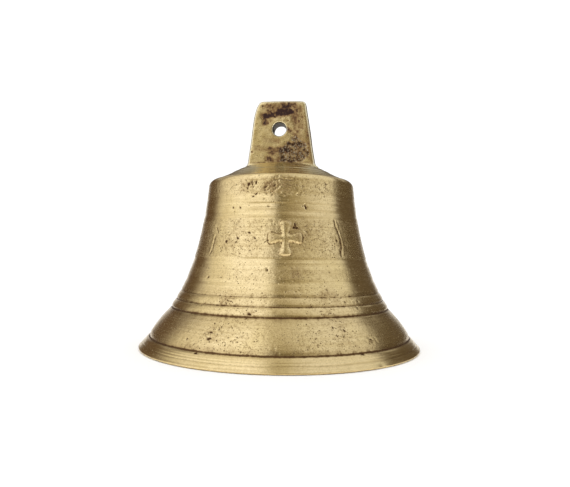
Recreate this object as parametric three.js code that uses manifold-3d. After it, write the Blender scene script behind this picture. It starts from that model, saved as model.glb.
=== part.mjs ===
// A cast-brass sanctus bell with a drilled hanging lug and a linked iron clapper.
// Millimetres, +Z up. The origin is the centre of the rim plane, on which the bell stands.
// The lug is a flat plate in the XZ plane: its faces look along -Y and +Y and its bore runs along Y.
// The clapper staple is cast into the crown. A closed link hangs on it, and the shank hangs on the link.
import * as THREE from 'three';
import { mergeVertices } from 'three/addons/utils/BufferGeometryUtils.js';
import Module from 'manifold-3d';

const wasm = await Module();
wasm.setup();

// ---- driving dimensions -------------------------------------------------------------------------------

const ROUND_SEGMENTS = 56;
const RUNNING_GAP = 0.3;

// Bell wall: radius = neck + flare * exp(-height / length), outside (waist) and inside (hollow)
const MOUTH_RADIUS = 43.5;
const WAIST = { neck: 20.9, flare: 24.45, length: 19.8 };
const HOLLOW = { neck: 18, flare: 21.3, length: 20 };
const WAIST_STATIONS = [44, 38.5, 33, 28, 23.5, 19.5];
const HOLLOW_STATIONS = [0.7, 4.5, 8.5, 13, 18, 24, 31, 38];
const TURNED_GROOVES = [
  { height: 17.1, width: 0.8, depth: 0.3 },
  { height: 14.65, width: 0.8, depth: 0.35 },
  { height: 12.1, width: 1, depth: 0.5 },
];
const SOUND_BOW_TOP = 11.4;
const SOUND_BOW_FOOT = { radius: 40.3, height: 4 };
const SOUND_BOW_BULGE = 38.5;
const LIP_GROOVE = { radius: 40.05, height: 3.6 };
const LIP_TOP = { radius: 40.8, height: 3.35 };
const LIP_EDGE = 0.5;
const RIM_INNER_RADIUS = 39.2;
const SHOULDER = { radius: 2, bottom: 49.4 };

// Crown, as radius and height: a flat under the lug, then a cone down to the shoulder
const CROWN_STEPS = [
  [0, 56.1],
  [10.9, 56.1],
  [12.7, 55.5],
  [14.9, 54.5],
  [16.8, 53.5],
  [18.7, 52.5],
  [20.4, 51.75],
];

// Inside of the crown
const CEILING_HEIGHT = 50;
const CEILING_CORNER = 4;
const BOSS_RADIUS = 8;
const BOSS_BOTTOM = 48.2;

// Lug: a tapered plate, drilled a little off its middle
const LUG_THICKNESS = 6;
const LUG_ROOT = { left: -11, right: 11.3, height: 54 };
const LUG_LEFT_TOP = [-8.75, 71.4];
const LUG_EDGE = 0.6;
const BORE = { radius: 2.2, x: -0.5, height: 68 };

// Top edge of the lug, from its soft left corner to its sharper right one.
// Each row is the control and the end of one curve, in X and Z.
const LUG_TOP_CURVES = [
  [-7.9, 76.4, -6, 76.8],
  [1, 77.25, 6.75, 76.75],
  [7.75, 76.7, 7.9, 75.6],
];

// Raised cross on the waist, turned from -Y towards +X
const CROSS_SIZE = 9.6;
const CROSS_ARM = { inner: 0.8, outer: 2.1 };
const CROSS_HEIGHT = 32.8;
const CROSS_RELIEF = 0.45;
const CROSS_TURN = THREE.MathUtils.degToRad(9);

// Clapper
const STAPLE_WIRE = 1.5;
const STAPLE_HALF_WIDTH = 5;
const STAPLE_BAR_HEIGHT = 43.5;
const STAPLE_TOP = 52.4;
const LINK_WIRE = 1;
const LINK_BOW = STAPLE_WIRE + RUNNING_GAP + LINK_WIRE;
const LINK_LENGTH = 7.6;
const SHANK_RADIUS = 1.5;
const EYE_WIRE = 1.2;
const EYE_PLAY = 0.6;
const EYE_RING = LINK_WIRE + EYE_PLAY + EYE_WIRE;
const BALL_RADIUS = 7.5;
const BALL_HEIGHT = 10.4;
const COLLAR_RADIUS = 2.6;
const COLLAR_LENGTH = 1.2;
const PEENED_RADIUS = 2.4;
const PEENED_LENGTH = 0.9;

// ---- solids ---------------------------------------------------------------------------------------------

const TO_Z_UP = new THREE.Matrix4().makeRotationX(Math.PI / 2);

function toSolid(geometry, matrix = new THREE.Matrix4()) {
  const bare = geometry.clone().applyMatrix4(matrix);
  bare.deleteAttribute('normal');
  bare.deleteAttribute('uv');
  const merged = mergeVertices(bare, 1e-4);
  const index = merged.index.array;
  const triangles = [];
  for (let i = 0; i < index.length; i += 3) {
    const [a, b, c] = [index[i], index[i + 1], index[i + 2]];
    if (a !== b && b !== c && c !== a) triangles.push(a, b, c);
  }
  const mesh = new wasm.Mesh({
    numProp: 3,
    vertProperties: new Float32Array(merged.attributes.position.array),
    triVerts: new Uint32Array(triangles),
  });
  return new wasm.Manifold(mesh);
}

function toMesh(name, solid, material) {
  const { vertProperties, triVerts } = solid.getMesh();
  const geometry = new THREE.BufferGeometry();
  geometry.setAttribute('position', new THREE.BufferAttribute(new Float32Array(vertProperties), 3));
  geometry.setIndex(new THREE.BufferAttribute(new Uint32Array(triVerts), 1));
  geometry.computeVertexNormals();
  const mesh = new THREE.Mesh(geometry, material);
  mesh.name = name;
  return mesh;
}

// Turned solid from (radius, height) points that start and end on the axis or close on themselves
function turned(outline, segments = ROUND_SEGMENTS) {
  return toSolid(new THREE.LatheGeometry(outline, segments), TO_Z_UP);
}

// Flat shape drawn in X and Z, given a thickness along Y with its middle at y = 0
function plate(shape, thickness, edge) {
  const geometry = new THREE.ExtrudeGeometry(shape, {
    depth: thickness - 2 * edge,
    curveSegments: 10,
    bevelEnabled: edge > 0,
    bevelSize: edge,
    bevelThickness: edge,
    bevelOffset: -edge,
    bevelSegments: 2,
  });
  const centred = new THREE.Matrix4().makeTranslation(0, 0, edge - thickness / 2);
  return toSolid(geometry, TO_Z_UP.clone().multiply(centred));
}

function rod(radius, bottom, top, segments = 16) {
  const geometry = new THREE.CylinderGeometry(radius, radius, top - bottom, segments);
  const lifted = new THREE.Matrix4().makeTranslation(0, 0, (top + bottom) / 2);
  return toSolid(geometry, lifted.multiply(TO_Z_UP));
}

function arc(centreX, centreY, radius, fromDegrees, toDegrees, steps) {
  const toRadians = THREE.MathUtils.degToRad;
  return Array.from({ length: steps + 1 }, (_, i) => {
    const angle = toRadians(fromDegrees + ((toDegrees - fromDegrees) * i) / steps);
    return new THREE.Vector2(centreX + radius * Math.cos(angle), centreY + radius * Math.sin(angle));
  });
}

// ---- bell casting -----------------------------------------------------------------------------------------

function flareRadius({ neck, flare, length }, height) {
  return neck + flare * Math.exp(-height / length);
}

function waistPoint(height, depth = 0) {
  return new THREE.Vector2(flareRadius(WAIST, height) - depth, height);
}

function hollowPoint(height) {
  return new THREE.Vector2(flareRadius(HOLLOW, height), height);
}

function grooveOutline({ height, width, depth }) {
  return [waistPoint(height + width / 2), waistPoint(height, depth), waistPoint(height - width / 2)];
}

function point({ radius, height }) {
  return new THREE.Vector2(radius, height);
}

function soundBowOutline() {
  const middle = (SOUND_BOW_TOP + SOUND_BOW_FOOT.height) / 2;
  const bulge = new THREE.Vector2(SOUND_BOW_BULGE, middle);
  return new THREE.QuadraticBezierCurve(waistPoint(SOUND_BOW_TOP), bulge, point(SOUND_BOW_FOOT)).getPoints(5);
}

function lipOutline() {
  return [
    point(LIP_GROOVE),
    point(LIP_TOP),
    ...arc(MOUTH_RADIUS - LIP_EDGE, LIP_EDGE, LIP_EDGE, 45, -90, 3),
    new THREE.Vector2(RIM_INNER_RADIUS, 0),
  ];
}

function hollowOutline() {
  const corner = flareRadius(HOLLOW, CEILING_HEIGHT - CEILING_CORNER) - CEILING_CORNER;
  return [
    ...HOLLOW_STATIONS.map(hollowPoint),
    ...arc(corner, CEILING_HEIGHT - CEILING_CORNER, CEILING_CORNER, 0, 90, 4),
    new THREE.Vector2(BOSS_RADIUS + 1.5, CEILING_HEIGHT),
    new THREE.Vector2(BOSS_RADIUS, BOSS_BOTTOM + 0.5),
    new THREE.Vector2(BOSS_RADIUS - 0.5, BOSS_BOTTOM),
    new THREE.Vector2(0, BOSS_BOTTOM),
  ];
}

// Listed from the crown down the outside, round the rim and up the hollow, then reversed for the lathe
function bellOutline() {
  const shoulder = flareRadius(WAIST, SHOULDER.bottom) - SHOULDER.radius;
  const outline = [
    ...CROWN_STEPS.map(([radius, height]) => new THREE.Vector2(radius, height)),
    ...arc(shoulder, SHOULDER.bottom, SHOULDER.radius, 60, 0, 4),
    ...WAIST_STATIONS.map((height) => waistPoint(height)),
    ...TURNED_GROOVES.flatMap(grooveOutline),
    ...soundBowOutline(),
    ...lipOutline(),
    ...hollowOutline(),
  ];
  return outline.reverse();
}

function lugShape() {
  const shape = new THREE.Shape();
  shape.moveTo(LUG_ROOT.left, LUG_ROOT.height);
  shape.lineTo(...LUG_LEFT_TOP);
  LUG_TOP_CURVES.forEach((curve) => shape.quadraticCurveTo(...curve));
  shape.lineTo(LUG_ROOT.right, LUG_ROOT.height);
  shape.closePath();
  return shape;
}

function lugBore() {
  const geometry = new THREE.CylinderGeometry(BORE.radius, BORE.radius, 2 * LUG_THICKNESS, 24);
  return toSolid(geometry, new THREE.Matrix4().makeTranslation(BORE.x, 0, BORE.height));
}

// Cross with four arms that widen towards their ends
function crossShape() {
  const reach = CROSS_SIZE / 2;
  const { inner, outer } = CROSS_ARM;
  const shape = new THREE.Shape();
  for (let arm = 0; arm < 4; arm += 1) {
    const turn = (arm * Math.PI) / 2;
    const corners = [[inner, -inner], [reach, -outer], [reach, outer]];
    for (const [along, across] of corners) {
      const x = along * Math.cos(turn) - across * Math.sin(turn);
      const z = along * Math.sin(turn) + across * Math.cos(turn);
      if (arm === 0 && along === inner) shape.moveTo(x, z);
      else shape.lineTo(x, z);
    }
  }
  shape.closePath();
  return shape;
}

// The cross is a prism trimmed to a thin skin over the waist, so that its face follows the curve of the bell
function raisedCross() {
  const reach = CROSS_SIZE / 2 + 1;
  const rows = [-1, -0.6, -0.2, 0.2, 0.6, 1].map((row) => CROSS_HEIGHT + row * reach);
  const outside = rows.map((height) => waistPoint(height, -CROSS_RELIEF));
  const inside = rows.map((height) => waistPoint(height, 1)).reverse();
  const skin = turned([...outside, ...inside, outside[0].clone()], 2 * ROUND_SEGMENTS);
  const prism = plate(crossShape(), 20, 0);
  const place = new THREE.Matrix4().makeRotationZ(CROSS_TURN);
  place.multiply(new THREE.Matrix4().makeTranslation(0, -flareRadius(WAIST, CROSS_HEIGHT), CROSS_HEIGHT));
  return prism.transform(place.elements).intersect(skin);
}

function stapleSocket(side) {
  const socket = rod(STAPLE_WIRE + RUNNING_GAP, BOSS_BOTTOM - 1, STAPLE_TOP + RUNNING_GAP);
  return socket.translate([0, side * STAPLE_HALF_WIDTH, 0]);
}

function bellBody() {
  const lug = plate(lugShape(), LUG_THICKNESS, LUG_EDGE).subtract(lugBore());
  return turned(bellOutline())
    .add(lug)
    .add(raisedCross())
    .subtract(stapleSocket(-1))
    .subtract(stapleSocket(1));
}

// ---- clapper --------------------------------------------------------------------------------------------

// U of round wire in the YZ plane: two straight legs and a half circle between them
class StapleCurve extends THREE.Curve {
  getPoint(t, target = new THREE.Vector3()) {
    const centre = STAPLE_BAR_HEIGHT + STAPLE_HALF_WIDTH;
    const leg = STAPLE_TOP - centre;
    const bend = Math.PI * STAPLE_HALF_WIDTH;
    const travelled = t * (2 * leg + bend);
    if (travelled < leg) return target.set(0, -STAPLE_HALF_WIDTH, STAPLE_TOP - travelled);
    if (travelled > leg + bend) return target.set(0, STAPLE_HALF_WIDTH, centre + travelled - leg - bend);
    const angle = (travelled - leg) / STAPLE_HALF_WIDTH;
    const y = -STAPLE_HALF_WIDTH * Math.cos(angle);
    return target.set(0, y, centre - STAPLE_HALF_WIDTH * Math.sin(angle));
  }
}

function wireSection(radius, sides) {
  return new THREE.Shape(arc(0, 0, radius, 0, 360 - 360 / sides, sides - 1));
}

function clapperStaple() {
  const geometry = new THREE.ExtrudeGeometry(wireSection(STAPLE_WIRE, 12), {
    steps: 22,
    bevelEnabled: false,
    extrudePath: new StapleCurve(),
  });
  return toSolid(geometry);
}

// Ring with straight sides: two half circles whose centres are `straight` apart
function stadiumShape(radius, top, bottom) {
  const shape = new THREE.Shape();
  shape.absarc(0, top, radius, 0, Math.PI, false);
  shape.absarc(0, bottom, radius, Math.PI, 2 * Math.PI, false);
  shape.closePath();
  return shape;
}

function clapperLink() {
  const top = STAPLE_BAR_HEIGHT;
  const bottom = STAPLE_BAR_HEIGHT - LINK_LENGTH + LINK_BOW;
  const shape = stadiumShape(LINK_BOW + LINK_WIRE, top, bottom);
  shape.holes.push(stadiumShape(LINK_BOW - LINK_WIRE, top, bottom));
  return plate(shape, 2 * LINK_WIRE, LINK_WIRE * 0.45);
}

function shankEye(height) {
  const shape = new THREE.Shape();
  shape.absarc(0, height, EYE_RING + EYE_WIRE, 0, 2 * Math.PI, false);
  const hole = new THREE.Path();
  hole.absarc(0, height, EYE_RING - EYE_WIRE, 0, 2 * Math.PI, false);
  shape.holes.push(hole);
  return plate(shape, 2 * EYE_WIRE, EYE_WIRE * 0.45).rotate([0, 0, 90]);
}

// Half the length of the ball's bore, with the gap that keeps the collar and the peened end clear of the ball
function ballHalfBore() {
  const bore = SHANK_RADIUS + RUNNING_GAP;
  return Math.sqrt(BALL_RADIUS ** 2 - bore ** 2) + RUNNING_GAP;
}

function clapperShank() {
  const eyeHeight = STAPLE_BAR_HEIGHT - LINK_LENGTH;
  const collarBottom = BALL_HEIGHT + ballHalfBore();
  const peenedTop = BALL_HEIGHT - ballHalfBore();
  const shaft = rod(SHANK_RADIUS, peenedTop - PEENED_LENGTH / 2, eyeHeight - EYE_RING);
  const collar = rod(COLLAR_RADIUS, collarBottom, collarBottom + COLLAR_LENGTH);
  const peened = rod(PEENED_RADIUS, peenedTop - PEENED_LENGTH, peenedTop);
  return shankEye(eyeHeight).add(shaft).add(collar).add(peened);
}

function clapperBall() {
  const sphere = new THREE.SphereGeometry(BALL_RADIUS, 24, 14);
  const ball = toSolid(sphere, new THREE.Matrix4().makeTranslation(0, 0, BALL_HEIGHT).multiply(TO_Z_UP));
  const bore = rod(SHANK_RADIUS + RUNNING_GAP, BALL_HEIGHT - 2 * BALL_RADIUS, BALL_HEIGHT + 2 * BALL_RADIUS);
  return ball.subtract(bore);
}

// ---- assembly ---------------------------------------------------------------------------------------------

const brass = new THREE.MeshStandardMaterial({ color: 0xc9a45a, metalness: 1, roughness: 0.32 });
const iron = new THREE.MeshStandardMaterial({ color: 0x4a423b, metalness: 0.85, roughness: 0.55 });
const steel = new THREE.MeshStandardMaterial({ color: 0x8d8a84, metalness: 1, roughness: 0.4 });
const ballBrass = new THREE.MeshStandardMaterial({ color: 0xb38e48, metalness: 1, roughness: 0.4 });

const bell = new THREE.Group();
bell.add(
  toMesh('bell_body', bellBody(), brass),
  toMesh('clapper_staple', clapperStaple(), iron),
  toMesh('clapper_link', clapperLink(), steel),
  toMesh('clapper_shank', clapperShank(), steel),
  toMesh('clapper_ball', clapperBall(), ballBrass),
);

export default bell;
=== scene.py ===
import math
import random

import bmesh
import bpy
import numpy as np
from mathutils import Matrix, Vector, noise


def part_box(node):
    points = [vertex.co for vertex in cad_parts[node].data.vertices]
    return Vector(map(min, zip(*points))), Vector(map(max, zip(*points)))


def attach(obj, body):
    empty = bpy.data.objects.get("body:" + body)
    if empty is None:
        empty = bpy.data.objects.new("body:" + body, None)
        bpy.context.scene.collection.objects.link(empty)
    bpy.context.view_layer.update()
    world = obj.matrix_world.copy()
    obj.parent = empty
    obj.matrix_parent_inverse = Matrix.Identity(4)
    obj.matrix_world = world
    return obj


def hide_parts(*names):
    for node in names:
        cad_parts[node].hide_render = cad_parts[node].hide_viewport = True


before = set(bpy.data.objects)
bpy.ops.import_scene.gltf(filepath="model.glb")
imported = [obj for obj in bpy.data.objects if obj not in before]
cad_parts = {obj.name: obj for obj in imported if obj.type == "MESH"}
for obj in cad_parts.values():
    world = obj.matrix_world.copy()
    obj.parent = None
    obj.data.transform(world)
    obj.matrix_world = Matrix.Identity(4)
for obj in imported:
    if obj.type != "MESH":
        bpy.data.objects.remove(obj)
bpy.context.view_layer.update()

# A cast-brass sanctus bell: one turned casting with a drilled lug, and a linked clapper inside.
# Lengths are in millimetres until a mesh is written.
# Angles are in degrees round +Z, from the front (-Y) towards +X.

MM = 0.001

# ---- driving dimensions, from the frame and from the design ----

bell_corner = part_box("bell_body")[1] / MM
MOUTH_RADIUS = bell_corner.x
LUG_TOP = bell_corner.z

WAIST = {"neck": 20.9, "flare": 24.45, "length": 19.8}
HOLLOW = {"neck": 18.0, "flare": 21.3, "length": 20.0}
SOUND_BOW_TOP = 11.4
SOUND_BOW_FOOT = 3.7
SOUND_BOW_FOOT_RADIUS = 40.5
SOUND_BOW_BULGE = 38.5
LIP_EDGE = 0.5
RIM_INNER_RADIUS = 39.2
SHOULDER_BOTTOM = 49.2
SHOULDER_RADIUS = 2.2
CEILING = 50.0
CEILING_CORNER = 4.0
BOSS_RADIUS = 8.0
BOSS_BOTTOM = 48.2

LUG_HALF_THICKNESS = 3.0
LUG_EDGE = 0.8
LUG_FILLET = {"height": 1.6, "ends": 0.9, "faces": 0.55}
LUG_MESH_SIZE = 0.30
LUG_ROOT = 54.0
LUG_ROOT_LEFT = -11.0
LUG_ROOT_RIGHT = 11.3
CROWN_TOP = 56.1
BORE_RADIUS = 2.15
BORE_X = -0.5
BORE_HEIGHT = 68.0

CROSS_HEIGHT = 32.8
CROSS_REACH = 4.8
CROSS_RELIEF = 0.5

# The camera looks at the bell level, from a little to the right of the lug's front face
CAMERA_TURN = 6.3
CAMERA_DISTANCE = 160.0
CAMERA_HEIGHT = 28.0
CAMERA_LENS = 31.48
CAMERA_ROLL = 0.70
CAMERA_SHIFT = (0.0081, 0.0218)
CROSS_TURN = CAMERA_TURN + 2.8


# ---- small mesh helpers ----

def flare_radius(form, height):
    return form["neck"] + form["flare"] * np.exp(-height / form["length"])


def smooth_step(low, high, value):
    t = np.clip((value - low) / (high - low), 0.0, 1.0)
    return t * t * (3.0 - 2.0 * t)


def plateau(start, full, full_end, end, value):
    """0 outside start and end, 1 between the two full values."""
    return smooth_step(start, full, value) * smooth_step(end, full_end, value)


def spaced(start, stop, density):
    """Values from start to stop, packed closer where density (values per unit) is higher."""
    fine = np.linspace(start, stop, 4000)
    weight = density(fine)
    count = np.concatenate([[0.0], np.cumsum((weight[1:] + weight[:-1]) / 2 * np.abs(np.diff(fine)))])
    steps = max(2, int(round(count[-1])))
    return np.interp(np.linspace(0.0, count[-1], steps + 1), count, fine)


def arc(centre_radius, centre_height, radius, start, stop, steps):
    angles = np.radians(np.linspace(start, stop, steps + 1))
    return np.column_stack([centre_radius + radius * np.cos(angles), centre_height + radius * np.sin(angles)])


def hump(distance, reach):
    """1 at no distance, falling off to either side."""
    return np.exp(-((distance / reach) ** 2))


def lopsided_hump(height, centre, above, below):
    """A hump over the centre that reaches up and down by different amounts."""
    return hump(height - centre, np.where(height > centre, above, below))


def radius_and_angle(points):
    """Distance from the axis and angle round it, in degrees from the front."""
    return np.hypot(points[:, 0], points[:, 1]), np.degrees(np.arctan2(points[:, 0], -points[:, 1]))


def new_object(name, vertices, faces):
    """An object from millimetres, shaded smooth, with the faces of a closed mesh turned outwards."""
    mesh = bpy.data.meshes.new(name)
    mesh.from_pydata((np.asarray(vertices, float) * MM).tolist(), [], faces)
    shape = bmesh.new()
    shape.from_mesh(mesh)
    if shape.calc_volume(signed=True) < 0.0:
        bmesh.ops.reverse_faces(shape, faces=shape.faces)
        shape.to_mesh(mesh)
    shape.free()
    mesh.update()
    mesh.polygons.foreach_set("use_smooth", [True] * len(mesh.polygons))
    piece = bpy.data.objects.new(name, mesh)
    bpy.context.scene.collection.objects.link(piece)
    return piece


def of_vertices(piece, name):
    """A vector of every vertex, as an array of rows."""
    flat = np.zeros(len(piece.data.vertices) * 3)
    piece.data.vertices.foreach_get(name, flat)
    return flat.reshape(-1, 3)


def positions(piece):
    """The vertices of a mesh object in millimetres, as an array of rows."""
    return of_vertices(piece, "co") / MM


def move_to(piece, points):
    piece.data.vertices.foreach_set("co", (points * MM).ravel())
    piece.data.update()


def apply_modifier(piece, kind, **settings):
    """Replaces the mesh with what a modifier makes of it."""
    modifier = piece.modifiers.new(kind, kind)
    for name, value in settings.items():
        setattr(modifier, name, value)
    graph = bpy.context.evaluated_depsgraph_get()
    mesh = bpy.data.meshes.new_from_object(piece.evaluated_get(graph))
    old = piece.data
    piece.modifiers.clear()
    piece.data = mesh
    bpy.data.meshes.remove(old)
    mesh.name = piece.name
    mesh.polygons.foreach_set("use_smooth", [True] * len(mesh.polygons))


def boolean(piece, other, operation):
    apply_modifier(piece, "BOOLEAN", operation=operation, object=other, solver="EXACT")
    bpy.data.objects.remove(other)


def remesh(piece, voxel, smoothing):
    """An even mesh with soft edges."""
    apply_modifier(piece, "REMESH", mode="VOXEL", voxel_size=voxel * MM)
    apply_modifier(piece, "SMOOTH", factor=0.5, iterations=smoothing)


def lathe_rings(outline, turn):
    """The (radius, height) rows of an outline, each as a ring of points at the given angles in radians."""
    x = np.outer(outline[:, 0], np.sin(turn))
    y = -np.outer(outline[:, 0], np.cos(turn))
    z = np.repeat(outline[:, 1:2], len(turn), axis=1)
    return np.stack([x, y, z], axis=-1).reshape(-1, 3)


def ring_faces(rows, columns, closed=False, flip=False):
    """Faces between rings of points. Closed joins the last ring to the first, flip turns the faces over."""
    faces = []
    for row in range(rows if closed else rows - 1):
        here, below = row * columns, (row + 1) % rows * columns
        for column in range(columns):
            after = (column + 1) % columns
            face = (here + column, below + column, below + after, here + after)
            faces.append((face[0],) + face[:0:-1] if flip else face)
    return faces


def turned(name, outline, angles):
    """Lathe of an outline of (radius, height) rows that starts and ends on the axis, at the given angles."""
    rows, columns = len(outline) - 2, len(angles)
    first, last = rows * columns, rows * columns + 1
    poles = [(0.0, 0.0, outline[0, 1]), (0.0, 0.0, outline[-1, 1])]
    faces = ring_faces(rows, columns)
    for column in range(columns):
        after = (column + 1) % columns
        faces.append((first, column, after))
        faces.append((last, (rows - 1) * columns + after, (rows - 1) * columns + column))
    return new_object(name, np.vstack([lathe_rings(outline[1:-1], np.radians(angles)), poles]), faces)


def tube(name, path, radius, sides=16, closed=False):
    """Round wire along a path that lies in a plane. Its ends are flat, or joined if it is closed."""
    path = np.asarray(path, float)
    radius = np.broadcast_to(np.asarray(radius, float), (len(path),))
    if closed:
        tangent = np.roll(path, -1, axis=0) - np.roll(path, 1, axis=0)
    else:
        tangent = np.gradient(path, axis=0)
    tangent /= np.linalg.norm(tangent, axis=1)[:, None]
    plane_normal = np.linalg.svd(path - path.mean(0))[2][2]
    side = np.cross(tangent, plane_normal)
    turn = np.linspace(0.0, 2.0 * math.pi, sides, endpoint=False)
    rings = [p + r * (np.outer(np.cos(turn), s) + np.outer(np.sin(turn), plane_normal))
             for p, r, s in zip(path, radius, side)]
    count = len(path)
    faces = ring_faces(count, sides, closed, flip=True)
    if not closed:
        faces.append(tuple(reversed(range(sides))))
        faces.append(tuple(range((count - 1) * sides, count * sides)))
    return new_object(name, np.vstack(rings), faces)


def line_distance(points, start, end):
    """Distance of each point from the straight line between two points."""
    run = end - start
    away = points - start
    along = np.clip(away @ run / (run @ run), 0.0, 1.0)
    return np.linalg.norm(away - along[:, None] * run, axis=1)


# ---- outline of the bell ----

# Cuts in the outside wall: (height, reach above, reach below, depth). A negative depth is a raised bead.
TURNED_CUTS = [
    (50.5, 0.25, 0.25, 0.03),
    (45.1, 0.70, 0.50, 0.05),
    (43.0, 0.50, 0.50, -0.03),
    (42.3, 0.35, 0.25, 0.04),
    (40.3, 0.80, 0.45, 0.07),
    (39.0, 0.60, 0.50, -0.07),
    (27.0, 0.60, 0.45, 0.05),
    (25.6, 0.25, 0.25, 0.02),
    (20.7, 0.60, 0.40, 0.06),
    (19.6, 0.60, 0.60, -0.04),
    (17.1, 0.55, 0.22, 0.14),
    (14.65, 0.55, 0.22, 0.18),
    (12.1, 0.60, 0.30, 0.26),
    (3.60, 0.90, 0.25, 0.18),
    (2.90, 0.12, 0.12, 0.04),
    (2.35, 0.15, 0.15, 0.10),
    (1.75, 0.15, 0.15, 0.14),
    (1.20, 0.12, 0.12, 0.05),
]

# Dirt that has settled in the grooves and against the beads, mixed with painted shade in the grooves, in the
# coves beside them, along turned rows and on the lower edge of the lip: (height, reach above, reach below,
# strength)
DIRT_AND_SHADE_BANDS = [
    (45.1, 0.30, 0.30, 0.12),
    (42.6, 0.50, 0.40, 0.16),
    (38.4, 0.50, 0.30, 0.22),
    (27.0, 0.30, 0.30, 0.24),
    (20.7, 0.25, 0.25, 0.18),
    (17.5, 0.90, 0.30, 0.44),
    (17.15, 0.26, 0.18, 0.76),
    (14.95, 0.60, 0.35, 0.50),
    (14.75, 0.27, 0.20, 0.98),
    (12.45, 0.65, 0.35, 0.56),
    (12.22, 0.34, 0.30, 1.26),
    (11.9, 0.30, 1.60, 0.44),
    (4.00, 1.60, 0.35, 0.50),
    (3.70, 0.34, 0.22, 1.30),
    (2.35, 0.10, 0.10, 0.35),
    (1.75, 0.14, 0.14, 0.55),
    (0.05, 0.25, 0.20, 0.40),
]

# Bands left as cast between turned bands: (top, bottom, how far they stand proud)
CAST_BANDS = [(38.2, 27.3, 0.08), (24.8, 21.5, 0.04), (18.5, 17.4, 0.03)]

CAST_EDGE = 0.5

# Bands that keep part of their cast skin: (share kept, then the heights where it starts, is full, stops being
# full and ends)
HALF_CAST_BANDS = [
    (0.7, 43.8, 46.0, 49.0, 50.2),
    (0.45, 12.3, 13.5, 16.5, 18.5),
    (0.55, 3.8, 5.0, 10.5, 12.0),
]

# Rounded bands between the three deep grooves: (top, bottom, bulge)
ROUND_BANDS = [(17.1, 14.65, 0.10), (14.65, 12.1, 0.12)]


def sound_bow_radius(height):
    t = (SOUND_BOW_TOP - height) / (SOUND_BOW_TOP - SOUND_BOW_FOOT)
    top = flare_radius(WAIST, SOUND_BOW_TOP)
    return (1 - t) ** 2 * top + 2 * t * (1 - t) * SOUND_BOW_BULGE + t**2 * SOUND_BOW_FOOT_RADIUS


def lip_radius(height):
    t = (SOUND_BOW_FOOT - height) / (SOUND_BOW_FOOT - LIP_EDGE)
    return SOUND_BOW_FOOT_RADIUS + (MOUTH_RADIUS - 0.12 - SOUND_BOW_FOOT_RADIUS) * t + 0.5 * t * (1 - t)


def wall_radius(height):
    """Outside radius of the wall between the lip's edge and the shoulder, without its turned detail."""
    waist = flare_radius(WAIST, height)
    bow = sound_bow_radius(height)
    lip = lip_radius(height)
    return np.where(height > SOUND_BOW_TOP, waist, np.where(height > SOUND_BOW_FOOT, bow, lip))


def turned_relief(height):
    """How far the turned detail stands out of the wall at a height."""
    relief = np.zeros_like(height)
    for centre, above, below, depth in TURNED_CUTS:
        relief -= depth * lopsided_hump(height, centre, above, below)
    for top, bottom, proud in CAST_BANDS:
        edges = (bottom - CAST_EDGE, bottom + CAST_EDGE, top - CAST_EDGE, top + CAST_EDGE)
        relief += proud * plateau(*edges, height)
    for top, bottom, bulge in ROUND_BANDS:
        across = np.clip((height - bottom) / (top - bottom), 0.0, 1.0)
        relief += bulge * 4.0 * across * (1.0 - across)
    return relief


def wall_density(height):
    density = np.full_like(height, 2.9)
    for centre, above, below, _ in TURNED_CUTS:
        density += 3.0 * hump(height - centre, above + below)
    return density + 1.2 * plateau(26.0, 28.0, 37.5, 39.0, height)


def crown_outline():
    """From the axis to the shoulder: the flat under the lug, then a cone with fine turned lines."""
    knots = np.array([
        (0.0, CROWN_TOP), (10.8, CROWN_TOP), (11.6, 55.9), (12.4, 55.5), (13.6, 55.0), (14.6, 54.5),
        (15.6, 54.0), (16.5, 53.5), (17.3, 53.0), (18.4, 52.5), (19.5, 52.0), (20.7, 51.5), (21.5, 51.2),
    ])
    radii = np.concatenate([[0.0, 5.0, 8.0], np.arange(9.6, 21.7, 0.33)])
    heights = np.interp(radii, knots[:, 0], knots[:, 1])
    for _ in range(2):
        heights[3:-1] = (heights[2:-2] + heights[3:-1] + heights[4:]) / 3
    for line, depth in [(12.8, 0.11), (14.7, 0.11), (16.4, 0.12), (18.3, 0.11), (20.2, 0.08)]:
        heights -= depth * hump(radii - line, 0.35)
    return np.column_stack([radii, heights])


def hollow_outline():
    """Outline of the hollow and of the space under it, from the axis below the rim up to the boss."""
    top = CEILING - CEILING_CORNER
    below = RIM_INNER_RADIUS + 0.4
    edge = np.array([(0.0, -1.0), (below, -1.0), (below, -0.4), (38.85, 0.35)])
    heights = spaced(0.7, top, lambda height: np.full_like(height, 0.9))
    wall = np.column_stack([flare_radius(HOLLOW, heights), heights])
    corner = arc(flare_radius(HOLLOW, top) - CEILING_CORNER, top, CEILING_CORNER, 10, 90, 8)
    boss = np.array([
        (12.0, CEILING), (BOSS_RADIUS + 1.5, CEILING - 0.1), (BOSS_RADIUS + 0.5, BOSS_BOTTOM + 1.1),
        (BOSS_RADIUS, BOSS_BOTTOM + 0.4), (BOSS_RADIUS - 0.5, BOSS_BOTTOM + 0.05),
        (BOSS_RADIUS - 1.2, BOSS_BOTTOM), (4.0, BOSS_BOTTOM), (0.0, BOSS_BOTTOM),
    ])
    return np.vstack([edge, wall, corner, boss])


def outside_outline():
    """Outline of the casting as if it were solid, from the axis over the crown and down to the flat rim."""
    shoulder_centre = flare_radius(WAIST, SHOULDER_BOTTOM) - SHOULDER_RADIUS
    shoulder = arc(shoulder_centre, SHOULDER_BOTTOM, SHOULDER_RADIUS, 62, 4, 11)
    heights = spaced(SHOULDER_BOTTOM, LIP_EDGE + 0.15, wall_density)
    wall = np.column_stack([wall_radius(heights) + turned_relief(heights), heights])
    edge = arc(MOUTH_RADIUS - LIP_EDGE, LIP_EDGE, LIP_EDGE, 0, -84, 7)
    rim = np.array([(MOUTH_RADIUS - LIP_EDGE - 0.1, 0.0), (0.0, 0.0)])
    return np.vstack([crown_outline(), shoulder, wall, edge, rim])


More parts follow.
